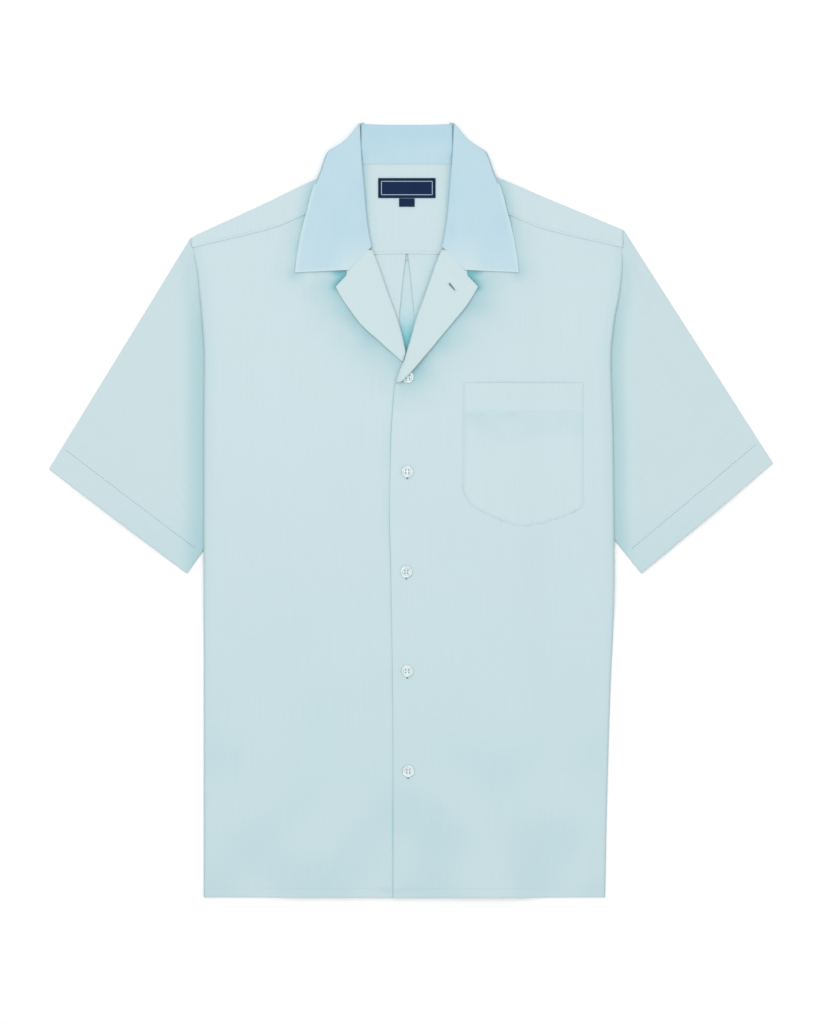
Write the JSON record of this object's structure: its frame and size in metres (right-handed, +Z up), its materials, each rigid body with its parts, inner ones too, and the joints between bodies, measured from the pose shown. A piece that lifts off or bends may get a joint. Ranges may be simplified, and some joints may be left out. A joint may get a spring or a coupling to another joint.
{
  "type": "camp shirt",
  "caption": "Short-sleeved camp shirt laid flat and buttoned, with an open notched collar, a curved patch pocket, a back yoke and a box pleat.",
  "frame": {"origin": "middle of the laid shirt's outline, on the surface it lies on", "axes": "+X to the right as the shirt is looked at (its wearer's left), +Y from hem to collar, +Z up out of the surface"},
  "size_m": [0.7456, 0.796, 0.0116],
  "materials": {
    "cloth": "matte",
    "collar_cloth": "matte",
    "label_cloth": "matte",
    "button": "gloss"
  },
  "bodies": {
    "root": {"front_left": "cloth", "front_right": "cloth", "back": "cloth", "yoke": "cloth", "sleeve_left": "cloth", "sleeve_right": "cloth", "collar": "collar_cloth", "facing_left": "cloth", "facing_right": "cloth", "pocket": "cloth", "label": "label_cloth", "size_tab": "label_cloth", "button_1": "button", "button_2": "button", "button_3": "button", "button_4": "button", "button_5": "button"}
  },
  "joints": []
}
